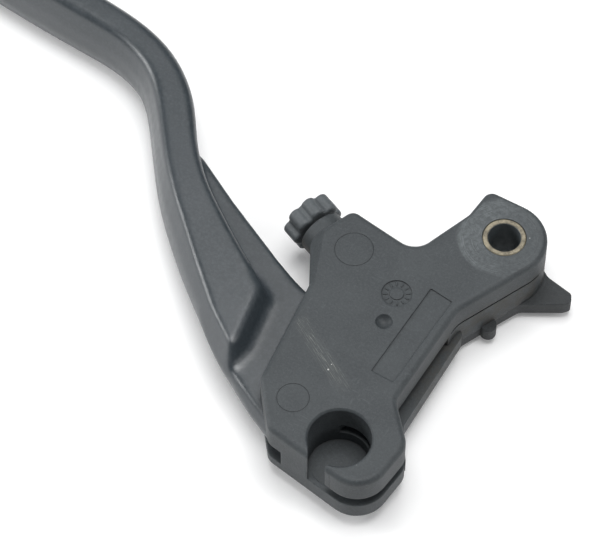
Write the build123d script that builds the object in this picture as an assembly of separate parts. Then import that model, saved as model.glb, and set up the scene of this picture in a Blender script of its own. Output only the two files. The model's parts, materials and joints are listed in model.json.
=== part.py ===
from build123d import *
import os
from math import cos, radians, sin

# Motorcycle clutch lever with a moulded carrier, a cast blade and a thumb-wheel span adjuster.
# Frame: origin on the pivot axis at the middle of the pivot bush, +Z out of the marked face,
# -X towards the ball end of the blade, +Y towards the handlebar. All sizes in millimetres.

# Pivot
BUSH_BORE_R = 3.0
BUSH_R = 4.0
BUSH_HALF = 7.2
RUN_GAP = 0.05
BOSS_R = 8.0

# Levels of the carrier, from the marked face down
TOP_Z = 7.15
CHEEK_Z = 1.55
SHELF_Z = -0.95
FLOOR_Z = -2.55
LOW_Z = -4.6
PLATE_TOP_Z = -4.1
PLATE_LOW_Z = -7.05
EDGE_R = 1.1                    # round between the marked face and the flanks
FLANK_ANGLE = radians(25.5)     # lean of the straight flank below the boss

# Cable hook
HOOK_X, HOOK_Y = -5.25, -51.3
HOOK_R = 5.65
HOOK_FLOOR_Z = -3.4
MOUTH_ANGLE = -60
MOUTH_W = 3.0

# Blade
TONGUE_TOP_Z = 1.4
TONGUE_LOW_Z = -2.4
BLADE_Z = -0.5
BALL_R = 8.0
HUB_R = 6.2
LINER_R = 4.95
WASHER_T = 0.45
TONGUE_GAP = 0.4

# Span adjuster: a screw whose axis passes ARM away from the pivot
ARM = 23.8
SCREW_Z = 0.9
SCREW_ANGLE = -24.2
SCREW_R = 2.45
INSERT_R = 3.4
FOOT_R = 1.85
SNAP_R = 3.1
SPAN_OUT, SPAN_IN = -4.8, 1.2   # degrees of blade swing at the ends of the thumb wheel's travel
ADJUSTER = Rot(0, 0, SCREW_ANGLE) * Pos(0, -ARM, SCREW_Z)
KNOB_R = 5.35
KNOB_START, KNOB_END = -28.5, -24.6
COLLAR_R, COLLAR_START = 4.4, -23.9
PIN_AT = -26.4
CLIP_START, CLIP_END = -7.75, -7.5

# Spring that keeps the tongue against the adjuster
SPRING_R, SPRING_WIRE_R = 1.1, 0.2
SPRING_START, SPRING_END = 4.35, 6.5
SPRING_LINE = Rot(0, 0, SCREW_ANGLE) * Pos(0, -ARM, BLADE_Z)


def outline(corners):
    """Closed face from (x, y, corner radius) points."""
    points = [(x, y) for x, y, _ in corners]
    return make_face(FilletPolyline(*points, radius=[r for _, _, r in corners], close=True))


def slab(shape, low, high):
    """Prism between two levels, from a face or a list of corners."""
    face = outline(shape) if isinstance(shape, list) else shape
    return extrude(Pos(0, 0, low) * face, high - low, dir=(0, 0, 1))


def disc(radius, low, high, x=0.0, y=0.0):
    return Pos(x, y, (low + high) / 2) * Cylinder(radius, high - low)


def rod(radius, start, end, line=ADJUSTER):
    """Cylinder along the adjuster screw, between two distances from the foot of its arm."""
    return line * Pos((start + end) / 2, 0, 0) * Rot(0, 90, 0) * Cylinder(radius, end - start)


BOSS_CORNER_X = BOSS_R * (1 + sin(FLANK_ANGLE)) / cos(FLANK_ANGLE)

CARRIER = [
    (-26.9, -8.3, 1.8), (-12.8, -10.4, 4.0), (-8.1, 1.5, 3.0), (-7.45, BOSS_R, 1.8),
    (BOSS_CORNER_X, BOSS_R, BOSS_R), (0.1, -17.8, 6.0), (-0.6, -39.4, 3.0),
    (5.7, -46.6, 4.0), (4.2, -59.6, 6.0), (-17.2, -55.9, 2.6), (-23.7, -47.6, 2.0),
    (-25.9, -26.2, 1.5), (-30.8, -17.2, 2.4),
]

# The lower cheek stands proud of the upper one beside the cable channel.
SHELF = [(-4, -15.5, 0), (1.3, -17.2, 1.5), (1.2, -39.6, 2.5), (5.0, -45.6, 0), (-4, -46, 0)]

CHANNEL = [
    (14, -20.0, 0), (-1.9, -21.0, 1.0), (-2.8, -28, 4), (-7.5, -44, 4), (-10.2, -54.15, 0),
    (-6.2, -61, 0), (14, -66, 0),
]

PLATE = [
    (-7.45, BOSS_R - 0.1, 1.8), (0.8, BOSS_R - 0.1, 6.0), (8.2, 3.0, 2.5), (13.6, 1.9, 0.9),
    (14.4, 0.3, 0.8), (13.3, -0.9, 0.9), (6.4, -4.8, 2.5), (3.9, -9.7, 0.8), (0.6, -16.6, 3.0),
    (0.2, -22.6, 1.6), (-4.6, -22.2, 1.6), (-8.2, 1.0, 3.0),
]
PEG_X, PEG_Y, PEG_R = 3.5, -11.5, 1.5
RIVETS = [(-5.3, 5.6), (-2.1, -19.2)]
RIVET_R = 1.0

# Flat of the blade: the web beside the beam and the tongue that reaches the pivot
TONGUE = [
    (-63.0, -9.6, 0), (-59.8, -8.3, 4), (-48.9, -14.5, 30), (-34.5, -21.9, 30), (-27.3, -24.9, 3),
    (-19.8, -25.0, 2), (-16.4, -22.3, 0.6), (-13.9, -16.3, 0.6), (-8.7, -12.0, 3), (-5.6, -2.6, 0),
    (0, 0, 0), (5.5, -2.8, 0), (-1.4, -15.8, 3), (-5.4, -20.5, 4), (-9.8, -30.5, 8),
    (-13.2, -42, 8), (-14.6, -53.2, 1.2), (-18.3, -53.7, 1.5), (-24.2, -50.8, 20), (-33.9, -44.9, 20),
    (-44, -36.2, 0), (-54, -22, 0),
]

# Stations along the beam: centre x, y, width, top, bottom, how far the ridge stands in from the
# outer side, radius of the ridge, radius of the inner edges
BEAM = [
    (-172, 16.3, 7.6, 4.3, -5.3, 1.6, 2.2, 2.4), (-162, 15.8, 8.2, 5.2, -6.2, 1.8, 2.3, 2.5),
    (-152, 15.0, 8.7, 5.7, -6.7, 1.9, 2.3, 2.5), (-142, 13.9, 9.0, 5.9, -6.9, 1.9, 2.3, 2.5),
    (-132, 12.6, 9.0, 5.9, -6.9, 1.9, 2.3, 2.5), (-122, 11.3, 8.9, 5.9, -6.9, 1.9, 2.2, 2.5),
    (-112, 9.9, 8.6, 5.9, -6.9, 1.9, 2.1, 2.5), (-102, 8.7, 8.3, 5.8, -6.8, 1.9, 2.0, 2.5),
    (-93, 7.8, 8.0, 5.7, -6.7, 1.9, 1.9, 2.4), (-84.5, 6.6, 7.8, 5.6, -6.6, 1.9, 1.8, 2.3),
    (-76.1, 3.2, 8.1, 5.5, -6.5, 1.9, 1.7, 2.1), (-70.3, -1.9, 8.7, 5.5, -6.5, 2.0, 1.6, 1.8),
    (-64.0, -10.3, 8.6, 5.5, -6.4, 2.2, 1.4, 1.4), (-57.6, -17.9, 9.2, 5.5, -6.2, 2.6, 1.2, 1.2),
    (-51.6, -23.4, 10.3, 5.4, -5.6, 2.9, 1.0, 1.1), (-44.9, -28.9, 11.5, 5.3, -4.5, 2.8, 0.9, 1.0),
    (-37.6, -34.3, 12.9, 5.2, -3.1, 2.5, 0.8, 0.9), (-29.0, -40.1, 14.4, 5.1, -2.5, 2.0, 0.7, 0.8),
    (-25.3, -42.2, 13.6, 5.1, -2.4, 2.0, 0.7, 0.8),
]
# Foot of the step between the beam and the web, which leans back as it rises
STEP = [(-31.9, -20), (-32.1, -28.1), (-30.0, -41.4), (-31.0, -48), (-10, -60), (-10, -10)]
STEP_LEAN = 28
# Outer side of the blade from the end of the beam along the web, which leans in as it rises
WEB_SIDE = [(-41.6, -39.9), (-33.0, -46.1), (-24.2, -50.8), (-18.3, -53.7), (-12, -56.8), (-12, -75), (-60, -75)]
WEB_SIDE_Z = -1.0
WEB_SIDE_LEAN = 24


def tongue_face():
    hub = Circle(HUB_R)
    return outline(TONGUE) + hub


def swept_pocket():
    """Space that the tongue needs over the whole span adjustment."""
    wide = offset(tongue_face(), amount=TONGUE_GAP, kind=Kind.INTERSECTION)
    steps = 5
    angles = [SPAN_OUT - 0.4 + (SPAN_IN + 0.4 - SPAN_OUT + 0.4) * i / steps for i in range(steps + 1)]
    pocket = Rot(0, 0, angles[0]) * wide
    for angle in angles[1:]:
        pocket += Rot(0, 0, angle) * wide
    return slab(pocket, FLOOR_Z, CHEEK_Z)


def lever_body():
    body = slab(CARRIER, LOW_Z, TOP_Z)
    body = fillet(body.faces().sort_by(Axis.Z)[-1].outer_wire().edges(), EDGE_R)
    body += slab(SHELF, LOW_Z, SHELF_Z)
    # broad facet where the thumb meets the adjuster boss
    facet = Rot(0, 0, -159) * Rot(0, -45, 0) * Pos(4.3, -10, 0) * Box(10, 20, 12)
    body -= Pos(-25.9, -26.2, TOP_Z) * facet
    body += rod(COLLAR_R, COLLAR_START, -19)
    # pocket for the tongue, open at the left side and round the lower left corner
    body -= swept_pocket()
    body -= slab([(-40, -62, 0), (-14.3, -62, 0), (-14.3, -52, 0), (-30, -48, 0)], FLOOR_Z, CHEEK_Z)
    # cable channel, nipple seat and the mouth the cable enters by
    body -= slab(CHANNEL, SHELF_Z, CHEEK_Z)
    seat = disc(HOOK_R, HOOK_FLOOR_Z, TOP_Z + 1, HOOK_X, HOOK_Y)
    lead_in = Pos(HOOK_X, HOOK_Y, TOP_Z - 0.2) * Cone(HOOK_R - 0.1, HOOK_R + 0.5, 0.6)
    body -= seat + slab(mouth_face(), SHELF_Z, TOP_Z + 1) + lead_in
    # seat of the lower plate, and its rivets
    body -= slab(plate_face(), LOW_Z - 1, PLATE_TOP_Z)
    body -= disc(BOSS_R + 1, LOW_Z - 1, PLATE_TOP_Z)
    for x, y in RIVETS:
        body -= disc(RIVET_R, LOW_Z - 1, 4.0, x, y)
    # bores of the pivot and of the adjuster
    body -= disc(BUSH_R + RUN_GAP, LOW_Z - 1, TOP_Z + 1)
    body -= rod(INSERT_R, -20.0, -12.0) + rod(SNAP_R + 0.3, -12.0, -7.4) + rod(3.75, -24, -20.0)
    body -= rod(FOOT_R + 0.4, -8, -4.5)
    body -= rod(SPRING_R + SPRING_WIRE_R + 0.15, SPRING_START - 1, SPRING_END + 0.05, SPRING_LINE)
    body -= seam_groove() + face_marks()
    return body


def mouth_face():
    """Opening of the hook in plan, with the end of the lip beside it rounded off."""
    lip_r = 0.85
    lip_end = MOUTH_W - HOOK_R
    face = Pos(7, lip_end - MOUTH_W / 2) * Rectangle(14, MOUTH_W)
    face += Pos(6, lip_end + lip_r / 2) * Rectangle(3.6, lip_r) - Pos(6.1, lip_end + lip_r) * Circle(lip_r)
    return Pos(HOOK_X, HOOK_Y) * Rot(0, 0, MOUTH_ANGLE) * face


def seam_groove():
    """Shallow moulding line round the pivot end, level with the underside of the upper cheek."""
    depth, height = 0.35, 0.45
    inner = offset(outline(CARRIER), amount=-depth)
    ring = slab(outline(CARRIER), CHEEK_Z, CHEEK_Z + height) - slab(inner, CHEEK_Z, CHEEK_Z + height)
    return ring & (Pos(8, -10.4, CHEEK_Z) * Box(18, 19, 4))


def face_marks():
    """Sunk marks of the moulding tool: label panel, date ring, gate dimple and ejector rings."""
    sunk = 0.22
    panel = [(-6.3, -16.3, 0.2), (-1.6, -16.9, 0.2), (-2.6, -36.8, 0.2), (-7.2, -36.7, 0.2)]
    marks = slab(panel, TOP_Z - sunk, TOP_Z + 1)
    ring_x, ring_y, ring_r = -11.1, -20.3, 2.8
    ring = disc(ring_r, TOP_Z - sunk, TOP_Z + 1, ring_x, ring_y)
    ring -= disc(1.25, TOP_Z - 1, TOP_Z - 0.06, ring_x, ring_y)
    spoke = Pos(ring_r - 0.75, 0, TOP_Z - sunk) * Box(0.7, 0.22, 0.3)
    for i in range(12):
        ring -= Pos(ring_x, ring_y, 0) * Rot(0, 0, 30 * i) * spoke
    marks += ring
    marks += Pos(-10.2, -26.6, TOP_Z + 0.55) * Sphere(1.68) + disc(1.3, TOP_Z - 0.5, TOP_Z + 1, -10.2, -26.6)
    for x, y, radius in [(-22.4, -15.9, 3.6), (-16.4, -48.4, 2.95)]:
        groove = disc(radius, TOP_Z - 0.08, TOP_Z + 1, x, y) - disc(radius - 0.12, TOP_Z - 1, TOP_Z + 2, x, y)
        marks += groove
    return marks


def lever_blade():
    centres = [(x, y) for x, y, *_ in BEAM]
    sections = []
    for i, (x, y, width, top, bottom, inset, ridge, edge) in enumerate(BEAM):
        before, after = centres[max(i - 1, 0)], centres[min(i + 1, len(BEAM) - 1)]
        along = Vector(after[0] - before[0], after[1] - before[1], 0).normalized()
        across = Vector(-along.Y, along.X, 0)
        place = Plane(origin=(x, y, 0), x_dir=across, z_dir=along)
        inner, outer = width / 2, -width / 2
        height = top - bottom
        section = [
            (inner, bottom, edge), (inner, top, edge), (outer + inset, top, ridge),
            (outer + 0.28 * inset, top - 0.38 * height, 6), (outer, top - 0.7 * height, 3),
            (outer + 0.5 * inset, bottom, 1.2),
        ]
        sections.append(place * outline(section))
    beam = loft(sections)
    step = make_face(Polyline(*STEP, close=True))
    beam -= slab(step, -20, TONGUE_TOP_Z)
    beam -= extrude(Pos(0, 0, TONGUE_TOP_Z) * step, 8, taper=-STEP_LEAN)
    blade = beam + slab(tongue_face(), TONGUE_LOW_Z, TONGUE_TOP_Z)
    web_side = make_face(Polyline(*WEB_SIDE, close=True))
    blade -= extrude(Pos(0, 0, WEB_SIDE_Z) * web_side, 8, taper=-WEB_SIDE_LEAN)
    ball_x, ball_y = BEAM[0][0] - 4.5, BEAM[0][1]
    blade += Pos(ball_x, ball_y, BLADE_Z) * Sphere(BALL_R)
    for low, high in [(TONGUE_TOP_Z - WASHER_T, 9), (-9, TONGUE_LOW_Z + WASHER_T)]:
        blade -= disc(HUB_R + 0.3, low, high)
    blade -= disc(LINER_R, -9, 9)
    blade -= rod(1.8, -9, -3.6)
    return blade


def plate_face():
    return outline(PLATE) + Pos(PEG_X, PEG_Y) * Circle(PEG_R)


def switch_plate():
    plate = slab(plate_face(), PLATE_LOW_Z, PLATE_TOP_Z)
    plate -= disc(BUSH_R + RUN_GAP, -20, 20)
    for x, y in RIVETS:
        plate -= disc(RIVET_R, -20, 20, x, y)
        plate -= disc(2.0, -20, PLATE_LOW_Z + 0.8, x, y)
    return plate


def plate_rivets():
    rivets = []
    for x, y in RIVETS:
        rivet = disc(RIVET_R, PLATE_LOW_Z + 0.2, 3.9, x, y)
        rivet += disc(1.9, PLATE_LOW_Z + 0.15, PLATE_LOW_Z + 0.8, x, y)
        rivets.append(rivet)
    return rivets


def pivot_bush():
    bush = disc(BUSH_R, -BUSH_HALF, BUSH_HALF) - disc(BUSH_BORE_R, -20, 20)
    rims = bush.edges().filter_by(GeomType.CIRCLE)
    return chamfer(rims, 0.2)


def return_spring():
    """Coil in the right wall of the pocket, at its shortest length."""
    length = SPRING_END - SPRING_START - 2 * SPRING_WIRE_R
    path = Helix(pitch=length / 3, height=length, radius=SPRING_R)
    coil = sweep(Plane(origin=path @ 0, z_dir=path % 0) * Circle(SPRING_WIRE_R), path=path, is_frenet=True)
    return SPRING_LINE * Pos(SPRING_START + SPRING_WIRE_R, 0, 0) * Rot(0, 90, 0) * coil


def adjuster_knob():
    star = Circle(KNOB_R - 0.85)
    for place in PolarLocations(KNOB_R - 1.5, 8):
        star += place * Circle(1.5)
    wheel = extrude(star, KNOB_END - KNOB_START)
    ends = wheel.faces().filter_by(Axis.Z)
    wheel = fillet([e for f in ends for e in f.outer_wire().edges()], 0.5)
    wheel = ADJUSTER * Pos(KNOB_START, 0, 0) * Rot(0, 90, 0) * wheel
    wheel -= rod(SCREW_R - 0.2, KNOB_START + 0.9, KNOB_END + 1) + rod(3.0, KNOB_START - 1, KNOB_START + 0.9)
    return wheel - knob_pin()


def knob_pin():
    """Cross pin, driven in from the underside of the thumb wheel."""
    return ADJUSTER * Pos(PIN_AT, 0, -0.8) * Cylinder(0.6, 7.8)


def adjuster_screw():
    screw = rod(SCREW_R - 0.2, KNOB_START + 0.9, KNOB_END + 0.1) + rod(SCREW_R, KNOB_END + 0.1, -8.9)
    screw += rod(0.95, -8.9, -7.2)
    pitch, depth = 0.8, 0.3
    start = -19.6
    for i in range(10):
        at = start + pitch * i
        screw -= rod(SCREW_R + 1, at, at + pitch / 2) - rod(SCREW_R - depth, at - 1, at + 1)
    screw -= rod(SCREW_R + 1, -22.6, -21.2) - rod(2.0, -23, -21)
    screw -= rod(SCREW_R + 1, -10.0, -9.4) - rod(2.0, -11, -9)
    screw -= rod(2.0, CLIP_START, CLIP_END) - rod(0.7, -9, -7)
    return screw - knob_pin()


def ring_on_screw(inner, outer, start, end):
    return rod(outer, start, end) - rod(inner, start - 1, end + 1)


def contact_pad():
    """Hard pad set in the edge of the tongue, with a bevelled nose."""
    nose = ADJUSTER * Pos(-5.875, 0, 0) * Rot(0, 90, 0) * Cone(0.8, 1.8, 0.25)
    pad = rod(1.8, -5.75, -3.6) + nose
    return pad & Pos(-14, -20, BLADE_Z) * Box(12, 12, TONGUE_TOP_Z - TONGUE_LOW_Z)


def screw_foot():
    foot = rod(FOOT_R, -8.1, -6.1) - rod(1.0, -9, -7.1)
    return foot - rod(1.42, CLIP_START - 0.05, CLIP_END + 0.05)


def threaded_insert():
    insert = rod(INSERT_R, -20.0, -12.0) - rod(SCREW_R + RUN_GAP, -30, 0)
    for at in (-18.4, -14.4):
        insert -= rod(INSERT_R + 1, at, at + 0.8) - rod(INSERT_R - 0.3, at - 1, at + 2)
    return insert


def washer(low, high):
    return disc(HUB_R - 0.1, low, high) - disc(BUSH_R + RUN_GAP, -20, 20)


PARTS = {
    "pivot_bush": pivot_bush(),
    "lever_body": lever_body(),
    "switch_plate": switch_plate(),
    "plate_rivets": plate_rivets(),
    "threaded_insert": threaded_insert(),
    "lever_blade": lever_blade(),
    "hub_liner": disc(LINER_R, TONGUE_LOW_Z + WASHER_T, TONGUE_TOP_Z - WASHER_T)
    - disc(BUSH_R + RUN_GAP, -20, 20),
    "contact_pad": contact_pad(),
    "return_spring": return_spring(),
    "upper_thrust_washer": washer(TONGUE_TOP_Z - WASHER_T, TONGUE_TOP_Z + 0.05),
    "lower_thrust_washer": washer(TONGUE_LOW_Z - 0.05, TONGUE_LOW_Z + WASHER_T),
    "screw_foot": screw_foot(),
    "adjuster_knob": adjuster_knob(),
    "adjuster_screw": adjuster_screw(),
    "foot_clip": ring_on_screw(0.75, 1.35, CLIP_START, CLIP_END),
    "knob_pin": knob_pin(),
    "knob_cap": rod(3.0, KNOB_START + 0.1, KNOB_START + 0.9),
    "friction_ring": ring_on_screw(2.0, 3.7, -22.6, -21.2),
    "travel_stop_ring": ring_on_screw(2.0, SNAP_R, -10.0, -9.4),
}

os.makedirs("parts", exist_ok=True)
for name, part in PARTS.items():
    solids = Compound(children=part) if isinstance(part, list) else part
    export_step(solids, f"parts/{name}.step")
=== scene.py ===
import json
import math

import bmesh
import bpy
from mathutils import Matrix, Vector


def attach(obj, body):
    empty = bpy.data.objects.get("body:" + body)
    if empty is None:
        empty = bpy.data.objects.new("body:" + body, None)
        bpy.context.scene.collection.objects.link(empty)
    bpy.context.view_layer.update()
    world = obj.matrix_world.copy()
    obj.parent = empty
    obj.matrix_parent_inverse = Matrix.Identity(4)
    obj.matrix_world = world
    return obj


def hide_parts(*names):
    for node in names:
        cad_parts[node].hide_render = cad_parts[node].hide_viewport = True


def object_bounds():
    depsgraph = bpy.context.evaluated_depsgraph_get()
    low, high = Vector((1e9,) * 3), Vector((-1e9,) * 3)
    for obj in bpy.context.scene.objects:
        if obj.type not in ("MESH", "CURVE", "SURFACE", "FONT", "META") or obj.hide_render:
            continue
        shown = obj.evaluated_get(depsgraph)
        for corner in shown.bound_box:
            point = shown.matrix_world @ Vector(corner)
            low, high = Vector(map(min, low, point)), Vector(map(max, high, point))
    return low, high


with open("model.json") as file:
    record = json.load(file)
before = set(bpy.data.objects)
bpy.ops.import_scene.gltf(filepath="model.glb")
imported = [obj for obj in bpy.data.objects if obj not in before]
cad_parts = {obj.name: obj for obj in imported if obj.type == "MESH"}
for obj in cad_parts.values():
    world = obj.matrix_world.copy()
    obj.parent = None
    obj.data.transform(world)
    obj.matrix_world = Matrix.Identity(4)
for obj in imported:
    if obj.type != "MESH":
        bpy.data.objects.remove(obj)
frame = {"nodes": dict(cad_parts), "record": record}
cad_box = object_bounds()

MM = 0.001
TOP_Z = 7.15 * MM               # marked face of the carrier

# Graze across the marked face: its two ends, and (x, y, radius) of the chips in it, mm
GRAZE_START = (-24.0, -33.6, 0)
GRAZE_END = (-8.2, -43.0, 0)
GRAZE_CHIPS = [(-13.9, -40.3, 0.22), (-13.9, -39.1, 0.13)]

# Lines on the blade where the casting is well rounded: start, end and reach, mm
SOFT_LINES = [
    ((-32.1, -27.5, 1.4), (-29.6, -43.6, 1.4), 6.0),    # foot of the step
    ((-34.3, -28.8, 5.4), (-33.6, -28.2, 2.0), 4.5),    # inner corner of the step
]
SOFT_ROUNDS = 120               # rounds of smoothing along those lines


# ---------------------------------------------------------------- node helpers

class Tree:
    """A material's node tree with short calls for the nodes used here."""

    def __init__(self, name):
        self.material = bpy.data.materials.new(name)
        self.material.use_nodes = True
        self.nodes = self.material.node_tree.nodes
        self.links = self.material.node_tree.links
        self.shader = self.nodes["Principled BSDF"]
        self.place = self.add("ShaderNodeTexCoord").outputs["Object"]

    def add(self, kind, **settings):
        node = self.nodes.new(kind)
        for key, value in settings.items():
            setattr(node, key, value)
        return node

    def put(self, socket, value):
        if isinstance(value, bpy.types.NodeSocket):
            self.links.new(value, socket)
        else:
            socket.default_value = value

    def product(self, *values):
        result = values[0]
        for value in values[1:]:
            result = self.math("MULTIPLY", result, value)
        return result

    def math(self, operation, a, b=0.0):
        node = self.add("ShaderNodeMath", operation=operation)
        for socket, value in zip(node.inputs, (a, b)):
            self.put(socket, value)
        return node.outputs[0]

    def vector(self, operation, a, b=(0, 0, 0), out="Vector"):
        node = self.add("ShaderNodeVectorMath", operation=operation)
        self.put(node.inputs[0], a)
        self.put(node.inputs[1], b)
        return node.outputs[out]

    def noise(self, size_mm, detail=3.0, rough=0.55, place=None, stretch=None):
        """Cloud noise whose features are about size_mm wide, longer where stretch is below 1."""
        where = place or self.place
        if stretch:
            where = self.vector("MULTIPLY", where, stretch)
        node = self.add("ShaderNodeTexNoise")
        self.put(node.inputs["Vector"], where)
        self.put(node.inputs["Scale"], 1 / (size_mm * MM))
        self.put(node.inputs["Detail"], detail)
        self.put(node.inputs["Roughness"], rough)
        return node.outputs["Fac"]

    def cells(self, size_mm):
        """Distance to the nearest of scattered points about size_mm apart."""
        node = self.add("ShaderNodeTexVoronoi")
        self.put(node.inputs["Vector"], self.place)
        self.put(node.inputs["Scale"], 1 / (size_mm * MM))
        return node.outputs["Distance"]

    def rings(self, radius, width_mm, detail=2.0):
        """Noise that changes only with the given radius."""
        node = self.add("ShaderNodeTexNoise", noise_dimensions="1D")
        self.put(node.inputs["W"], radius)
        self.put(node.inputs["Scale"], 1 / (width_mm * MM))
        self.put(node.inputs["Detail"], detail)
        return node.outputs["Fac"]

    def ramp(self, value, low, high, out_low=0.0, out_high=1.0):
        node = self.add("ShaderNodeMapRange", interpolation_type="SMOOTHSTEP")
        for socket, number in zip(node.inputs, (value, low, high, out_low, out_high)):
            self.put(socket, number)
        return node.outputs[0]

    def mix(self, factor, a, b):
        node = self.add("ShaderNodeMix", data_type="RGBA")
        colours = [s for s in node.inputs if s.type == "RGBA"]
        self.put(node.inputs[0], factor)
        for socket, value in zip(colours, (a, b)):
            self.put(socket, value if isinstance(value, bpy.types.NodeSocket) else (*value, 1))
        return [s for s in node.outputs if s.type == "RGBA"][0]

    def flat(self):
        """Place in the plane of the marked face."""
        return self.vector("MULTIPLY", self.place, (1, 1, 0))

    def xyz(self):
        node = self.add("ShaderNodeSeparateXYZ")
        self.put(node.inputs[0], self.place)
        return node.outputs

    def edges(self, radius_mm):
        """(rounded normal, how strongly the surface turns within the radius)."""
        bevel = self.add("ShaderNodeBevel", samples=6)
        self.put(bevel.inputs["Radius"], radius_mm * MM)
        plain = self.add("ShaderNodeNewGeometry").outputs["Normal"]
        along = self.vector("DOT_PRODUCT", bevel.outputs[0], plain, out="Value")
        return bevel.outputs[0], self.ramp(along, 0.995, 0.86)

    def corners(self, reach_mm, share):
        """Painted shade: how closed in a surface is by its own piece, 0 on open faces, share in tight
        corners.
        """
        node = self.add("ShaderNodeAmbientOcclusion", samples=8, only_local=True)
        self.put(node.inputs["Distance"], reach_mm * MM)
        return self.ramp(node.outputs["AO"], 0.92, 0.45, 0, share)

    def bump(self, height, depth_mm, normal=None):
        node = self.add("ShaderNodeBump")
        self.put(node.inputs["Strength"], 1.0)
        self.put(node.inputs["Distance"], depth_mm * MM)
        self.put(node.inputs["Height"], height)
        if normal is not None:
            self.put(node.inputs["Normal"], normal)
        return node.outputs[0]

    def finish(self, colour, roughness, normal, metallic=0.0, specular=0.5):
        self.put(self.shader.inputs["Base Color"], colour)
        self.put(self.shader.inputs["Roughness"], roughness)
        self.put(self.shader.inputs["Normal"], normal)
        self.shader.inputs["Metallic"].default_value = metallic
        self.shader.inputs["Specular IOR Level"].default_value = specular
        return self.material


# ---------------------------------------------------------------- materials

def tinted(colour, factor):
    """A lighter or darker shade of a colour."""
    return tuple(min(1.0, c * factor) for c in colour)


def moulded(name, dark, light, grain_mm, rough, marks=False):
    """Glass-filled moulding: fine grain, cloudy tone, scuffs, paler handled edges and painted shade in
    corners and recesses.
    """
    t = Tree(name)
    rounded, turn = t.edges(0.4)
    colour = t.mix(t.ramp(t.noise(8, 4), 0.32, 0.68), dark, light)
    speck = t.ramp(t.noise(0.45, 3, 0.7), 0.4, 0.75, 0, 0.5)
    colour = t.mix(speck, colour, tinted(light, 1.45))
    pit = t.ramp(t.noise(0.6, 3, 0.7), 0.42, 0.3, 0, 0.45)
    colour = t.mix(pit, colour, tinted(dark, 0.7))
    scuffed = t.ramp(t.noise(5, 3), 0.48, 0.68)
    hairs_along_y = t.noise(0.3, 2, 0.6, stretch=(1, 0.14, 1))
    hairs_along_x = t.noise(0.3, 2, 0.6, stretch=(0.16, 0.9, 1))
    hairs = t.math("MAXIMUM", hairs_along_y, hairs_along_x)
    scuff = t.product(scuffed, t.ramp(hairs, 0.58, 0.78, 0, 0.4))
    colour = t.mix(scuff, colour, tinted(light, 2.1))
    worn = t.product(turn, t.ramp(t.noise(1.4, 4, 0.65), 0.4, 0.66, 0.08, 0.6))
    colour = t.mix(worn, colour, tinted(light, 1.9))
    fine = t.noise(grain_mm, 2, 0.7)
    roughness = t.ramp(fine, 0.3, 0.7, rough - 0.06, rough + 0.08)
    roughness = t.math("SUBTRACT", roughness, t.product(scuff, 0.3))
    height = t.math("ADD", fine, t.product(t.noise(0.9, 2), 0.8))
    height = t.math("ADD", height, t.product(speck, 0.6))
    if marks:
        colour, roughness, height = face_marks(t, colour, roughness, height)
    # Painted shade: corners, creases and recesses darkened towards a third of the dark tone by ambient
    # occlusion
    colour = t.mix(t.corners(0.8, 0.75), colour, tinted(dark, 0.3))
    normal = t.bump(height, 0.018, rounded)
    return t.finish(colour, roughness, normal, specular=0.4)


def face_marks(t, colour, roughness, height):
    """Wear and dirt of the carrier: the rubbed ring (with a painted sheen), the dusty flanks and the
    graze.
    """
    on_face = t.ramp(t.xyz()[2], TOP_Z - 0.1 * MM, TOP_Z - 0.02 * MM)
    rub_and_sheen = t.product(on_face, rub_ring_and_sheen(t))
    # Painted sheen: the rubbed ring is painted paler as if its polish caught the light; the lower
    # roughness is the real polish
    colour = t.mix(rub_and_sheen, colour, (0.185, 0.205, 0.212))
    roughness = t.math("SUBTRACT", roughness, t.product(rub_and_sheen, 0.12))
    dust = flank_dust(t)
    colour = t.mix(dust, colour, (0.066, 0.058, 0.046))
    roughness = t.math("ADD", roughness, t.product(dust, 0.2))
    band, streaks = graze(t)
    band = t.product(band, on_face)
    scratches = t.product(band, streaks)
    broken_run = t.ramp(t.noise(2.5, 3), 0.35, 0.6, 0.25, 0.5)
    colour = t.mix(t.product(band, 0.1), colour, (0.17, 0.18, 0.17))
    colour = t.mix(t.product(scratches, broken_run), colour, (0.27, 0.28, 0.26))
    height = t.math("SUBTRACT", height, t.product(scratches, 1.2))
    nick = t.product(on_face, t.ramp(t.cells(6.5), 0.03, 0.012))
    colour = t.mix(t.product(nick, 0.5), colour, (0.45, 0.46, 0.45))
    for chip in GRAZE_CHIPS:
        colour = t.mix(t.product(on_face, spot(t, *chip)), colour, (0.5, 0.51, 0.5))
    return colour, roughness, height


def rub_ring_and_sheen(t):
    """Where the perch has rubbed the face round the pivot, most of all on the blade's side; rubbing
    wear, painted paler as a sheen.
    """
    from_pivot = t.vector("LENGTH", t.flat(), out="Value")
    wander = t.product(t.math("SUBTRACT", t.noise(2.6, 3), 0.5), 1.6 * MM)
    inside = t.ramp(t.math("ADD", from_pivot, wander), 9.0 * MM, 7.9 * MM)
    side = t.ramp(t.xyz()[0], 5 * MM, -6 * MM, 0.4, 1.0)
    rings = t.ramp(t.rings(from_pivot, 0.22, 3.0), 0.5, 0.72)
    rings = t.product(rings, t.ramp(t.noise(2.2, 3), 0.4, 0.65), 0.4)
    mottle = t.ramp(t.noise(0.8, 4, 0.7), 0.35, 0.7, 0.15, 0.45)
    return t.product(inside, side, t.math("ADD", mottle, rings))


def flank_dust(t):
    """Dust that has settled low on the flanks round the pivot end."""
    _, y, z = t.xyz()
    low = t.product(t.ramp(z, 4.5 * MM, 0.5 * MM), t.ramp(y, -42 * MM, -24 * MM))
    return t.product(low, t.ramp(t.noise(3.2, 5, 0.65), 0.36, 0.62, 0, 0.5))


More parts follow.
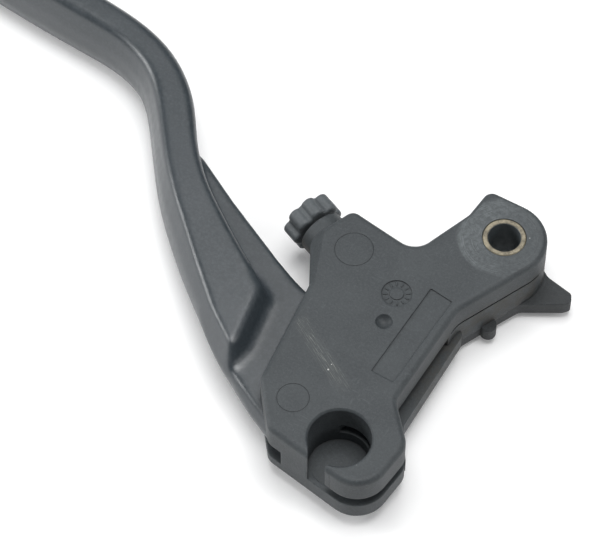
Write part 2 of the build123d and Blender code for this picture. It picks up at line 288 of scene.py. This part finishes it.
def graze(t):
    """(band, streaks): the graze's narrow band, and the long thin scratches that fill it."""
    start, end = Vector(GRAZE_START) * MM, Vector(GRAZE_END) * MM
    length = (end - start).length
    run = (end - start).normalized()
    side = Vector((-run.y, run.x, 0))
    local = t.vector("SUBTRACT", t.flat(), tuple(start))
    along = t.vector("DOT_PRODUCT", local, tuple(run), out="Value")
    across = t.vector("DOT_PRODUCT", local, tuple(side), out="Value")
    in_run = t.product(t.ramp(along, -0.3 * MM, 1.2 * MM), t.ramp(along, length, length * 0.8))
    in_band = t.ramp(t.math("ABSOLUTE", across), 2.1 * MM, 0.2 * MM)
    drawn_out = t.add("ShaderNodeCombineXYZ")
    t.put(drawn_out.inputs[0], t.product(along, 0.045))
    t.put(drawn_out.inputs[1], across)
    streaks = t.ramp(t.noise(0.16, 2, 0.6, place=drawn_out.outputs[0]), 0.53, 0.66)
    return t.product(in_run, in_band), streaks


def spot(t, x_mm, y_mm, radius_mm):
    """A small ragged chip seen from above."""
    away = t.vector("LENGTH", t.vector("SUBTRACT", t.flat(), (x_mm * MM, y_mm * MM, 0)), out="Value")
    away = t.math("ADD", away, t.product(t.noise(0.3, 2), 0.2 * MM))
    return t.ramp(away, (radius_mm + 0.1) * MM, radius_mm * MM)


def cast_paint():
    """Satin paint over a fine cast skin, rubbed paler along the ridges."""
    t = Tree("blade_paint")
    rounded, turn = t.edges(1.2)
    colour = t.mix(t.ramp(t.noise(14, 3), 0.3, 0.7), (0.024, 0.032, 0.038), (0.031, 0.039, 0.046))
    patch = t.ramp(t.noise(0.55, 4, 0.65), 0.4, 0.72, 0, 0.4)
    colour = t.mix(patch, colour, (0.060, 0.073, 0.083))
    worn = t.product(turn, t.ramp(t.noise(2.4, 4), 0.42, 0.62, 0.0, 0.35))
    colour = t.mix(worn, colour, (0.22, 0.23, 0.235))
    nick = t.ramp(t.cells(9.0), 0.022, 0.01, 0, 0.5)
    colour = t.mix(nick, colour, (0.4, 0.41, 0.41))
    height = t.math("ADD", t.noise(0.5, 2, 0.5), t.product(t.noise(1.6, 2, 0.5), 1.5))
    roughness = t.ramp(t.noise(1.1, 3), 0.3, 0.7, 0.3, 0.38)
    return t.finish(colour, roughness, t.bump(height, 0.008, rounded), specular=0.8)


def turned_metal(name, light, dark, rough, tarnish, bore=None, metallic=1.0):
    """Turned or drawn metal with fine rings round +Z and patchy tarnish; bore is (radius mm, colour)."""
    t = Tree(name)
    rounded, turn = t.edges(0.12)
    radius = t.vector("LENGTH", t.flat(), out="Value")
    patches = t.ramp(t.noise(1.1, 4, 0.65), 0.35, 0.68, 0, tarnish)
    colour = t.mix(patches, light, dark)
    colour = t.mix(t.product(turn, 0.35), colour, tinted(light, 1.3))
    if bore:
        # A darker, mottled grey inside the bore
        inside = t.ramp(radius, (bore[0] + 0.12) * MM, (bore[0] + 0.02) * MM)
        bore_tone = t.mix(t.noise(1.5, 3), bore[1], tinted(bore[1], 0.75))
        colour = t.mix(inside, colour, bore_tone)
    height = t.math("ADD", t.rings(radius, 0.12), t.product(t.noise(0.2, 2), 0.5))
    roughness = t.ramp(patches, 0, 1, rough, rough + 0.25)
    return t.finish(colour, roughness, t.bump(height, 0.012, rounded), metallic=metallic)


def soft_ring():
    """Matt rubber."""
    t = Tree("ring_rubber")
    rounded, _ = t.edges(0.15)
    colour = t.mix(t.noise(1.0, 3), (0.02, 0.02, 0.021), (0.04, 0.04, 0.042))
    roughness = t.ramp(t.noise(0.3, 2), 0.3, 0.7, 0.7, 0.85)
    return t.finish(colour, roughness, t.bump(t.noise(0.2, 2), 0.01, rounded))


BORE_INSIDE = (3.0, (0.14, 0.16, 0.17))   # radius of the bore in mm, and the darker grey colour inside it

MATERIALS = {
    "carrier_plastic": moulded(
        "carrier_plastic", (0.039, 0.045, 0.049), (0.048, 0.055, 0.059), 0.16, 0.55, marks=True),
    # Painted shade: the plate gets a darker copy of the carrier's plastic, standing in for the shade it
    # sits in under the body
    "plate_plastic": moulded("plate_plastic", (0.029, 0.032, 0.034), (0.036, 0.040, 0.042), 0.2, 0.6),
    "knob_plastic": moulded("knob_plastic", (0.070, 0.079, 0.084), (0.084, 0.094, 0.100), 0.2, 0.5),
    "blade_paint": cast_paint(),
    "bush_brass": turned_metal(
        "bush_brass", (0.30, 0.265, 0.19), (0.11, 0.1, 0.08), 0.42, 0.75, BORE_INSIDE, metallic=0.4),
    "insert_brass": turned_metal("insert_brass", (0.58, 0.44, 0.2), (0.3, 0.2, 0.08), 0.3, 0.4),
    "steel": turned_metal("steel", (0.42, 0.42, 0.42), (0.24, 0.24, 0.25), 0.4, 0.6),
    "liner_plastic": moulded("liner_plastic", (0.6, 0.57, 0.49), (0.68, 0.66, 0.58), 0.2, 0.45),
    "ring_rubber": soft_ring(),
}


def paint(obj, slot):
    """Give a piece the one material of its slot."""
    obj.data.materials.clear()
    obj.data.materials.append(MATERIALS[slot])


for entry in frame["record"]["subparts"]:
    paint(frame["nodes"][entry["node"]], entry["material_slot"])


# ---------------------------------------------------------------- detailed pieces

def recast(node, name, body, slot, voxel_mm, rounds, soft_lines=()):
    """A cast or moulded version of a CAD node: a fine even skin with every edge and corner eased."""
    source = frame["nodes"][node]
    obj = bpy.data.objects.new(name, source.data.copy())
    bpy.context.scene.collection.objects.link(obj)
    skin = obj.modifiers.new("skin", "REMESH")
    skin.mode = "VOXEL"
    skin.voxel_size = voxel_mm * MM
    skin.use_smooth_shade = True
    apply_modifiers(obj)
    smooth(obj, rounds)
    if soft_lines:
        weigh(obj, soft_lines)
        smooth(obj, SOFT_ROUNDS, "soft")
        obj.vertex_groups.clear()
    obj.data.polygons.foreach_set("use_smooth", [True] * len(obj.data.polygons))
    paint(obj, slot)
    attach(obj, body)
    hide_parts(node)
    return obj


def apply_modifiers(obj):
    """Bake a piece's modifiers into its mesh."""
    bpy.context.view_layer.update()
    shape = obj.evaluated_get(bpy.context.evaluated_depsgraph_get())
    mesh = bpy.data.meshes.new_from_object(shape)
    obj.modifiers.clear()
    obj.data = mesh


def smooth(obj, rounds, group=""):
    """Even out the mesh, everywhere or only in a vertex group."""
    ease = obj.modifiers.new("ease", "SMOOTH")
    ease.factor = 0.5
    ease.iterations = rounds
    ease.vertex_group = group
    apply_modifiers(obj)


def weigh(obj, lines):
    """Vertex group that is 1 on the given lines and fades to 0 at their reach."""
    group = obj.vertex_groups.new(name="soft")
    lines = [(Vector(a) * MM, Vector(b) * MM, reach * MM) for a, b, reach in lines]
    for v in obj.data.vertices:
        weight = 0.0
        for a, b, reach in lines:
            share = max(0.0, min(1.0, (v.co - a).dot(b - a) / (b - a).length_squared))
            away = (v.co - a.lerp(b, share)).length / reach
            if away < 1:
                weight = max(weight, (1 - away * away) ** 2)
        if weight:
            group.add([v.index], weight, "REPLACE")


recast("lever_blade", "blade_casting", "blade", "blade_paint", 0.25, 16, SOFT_LINES)
recast("adjuster_knob", "thumb_wheel", "knob", "knob_plastic", 0.11, 6)


# ---------------------------------------------------------------- floor, light, camera

def floor(z):
    """Plain pale paper under the lever."""
    mesh = bpy.data.meshes.new("floor")
    shape = bmesh.new()
    bmesh.ops.create_grid(shape, x_segments=1, y_segments=1, size=3.0)
    bmesh.ops.translate(shape, verts=shape.verts, vec=(0, 0, z))
    shape.to_mesh(mesh)
    shape.free()
    obj = bpy.data.objects.new("floor", mesh)
    bpy.context.scene.collection.objects.link(obj)
    t = Tree("floor_paper")
    colour = t.mix(t.noise(40, 2), (0.9, 0.9, 0.9), (0.93, 0.93, 0.93))
    t.shader.inputs["Emission Color"].default_value = (1, 1, 1, 1)
    t.shader.inputs["Emission Strength"].default_value = 0.13
    mesh.materials.append(t.finish(colour, 0.9, t.bump(t.noise(0.6, 2), 0.002), specular=0.1))


def softbox(name, place, target, size, power):
    """Rectangular area light, in metres and watts, that faces the target."""
    data = bpy.data.lights.new(name, "AREA")
    data.shape = "RECTANGLE"
    data.size, data.size_y = size
    data.energy = power
    obj = bpy.data.objects.new(name, data)
    bpy.context.scene.collection.objects.link(obj)
    obj.location = place
    obj.rotation_mode = "QUATERNION"
    obj.rotation_quaternion = (Vector(target) - Vector(place)).to_track_quat("-Z", "Y")


floor(cad_box[0].z - 0.0002)
middle = (-0.03, -0.02, 0)
softbox("left_box", (-0.85, -0.3, 0.42), middle, (0.4, 0.34), 4.7)
softbox("back_left_box", (-0.65, 0.65, 0.45), middle, (0.6, 0.5), 1.0)
softbox("top_box", (0.0, 0.04, 1.1), middle, (0.7, 0.7), 10.2)
softbox("mirror_box", (-0.3, 0.52, 0.93), middle, (0.5, 0.5), 0.6)
softbox("right_box", (0.8, 0.2, 0.65), middle, (0.5, 0.5), 2.4)
softbox("front_box", (0.25, -0.95, 0.4), middle, (0.6, 0.5), 0.3)

world = bpy.data.worlds.new("studio")
world.use_nodes = True
world.node_tree.nodes["Background"].inputs["Color"].default_value = (0.93, 0.96, 1.0, 1)
world.node_tree.nodes["Background"].inputs["Strength"].default_value = 0.10
bpy.context.scene.world = world
bpy.context.scene.view_settings.view_transform = "Standard"
bpy.context.scene.view_settings.look = "None"

azimuth, elevation = math.radians(30.0), math.radians(57.5)
level = math.cos(elevation)
back = Vector((math.sin(azimuth) * level, -math.cos(azimuth) * level, math.sin(elevation)))
lens = bpy.data.cameras.new("camera")
lens.lens, lens.sensor_width = 198.0, 36.0
lens.clip_start, lens.clip_end = 0.05, 10
camera = bpy.data.objects.new("camera", lens)
bpy.context.scene.collection.objects.link(camera)
camera.location = (0.13152, -0.30216, 0.51006)
camera.rotation_mode = "QUATERNION"
camera.rotation_quaternion = (-back).to_track_quat("-Z", "Y")
bpy.context.scene.camera = camera
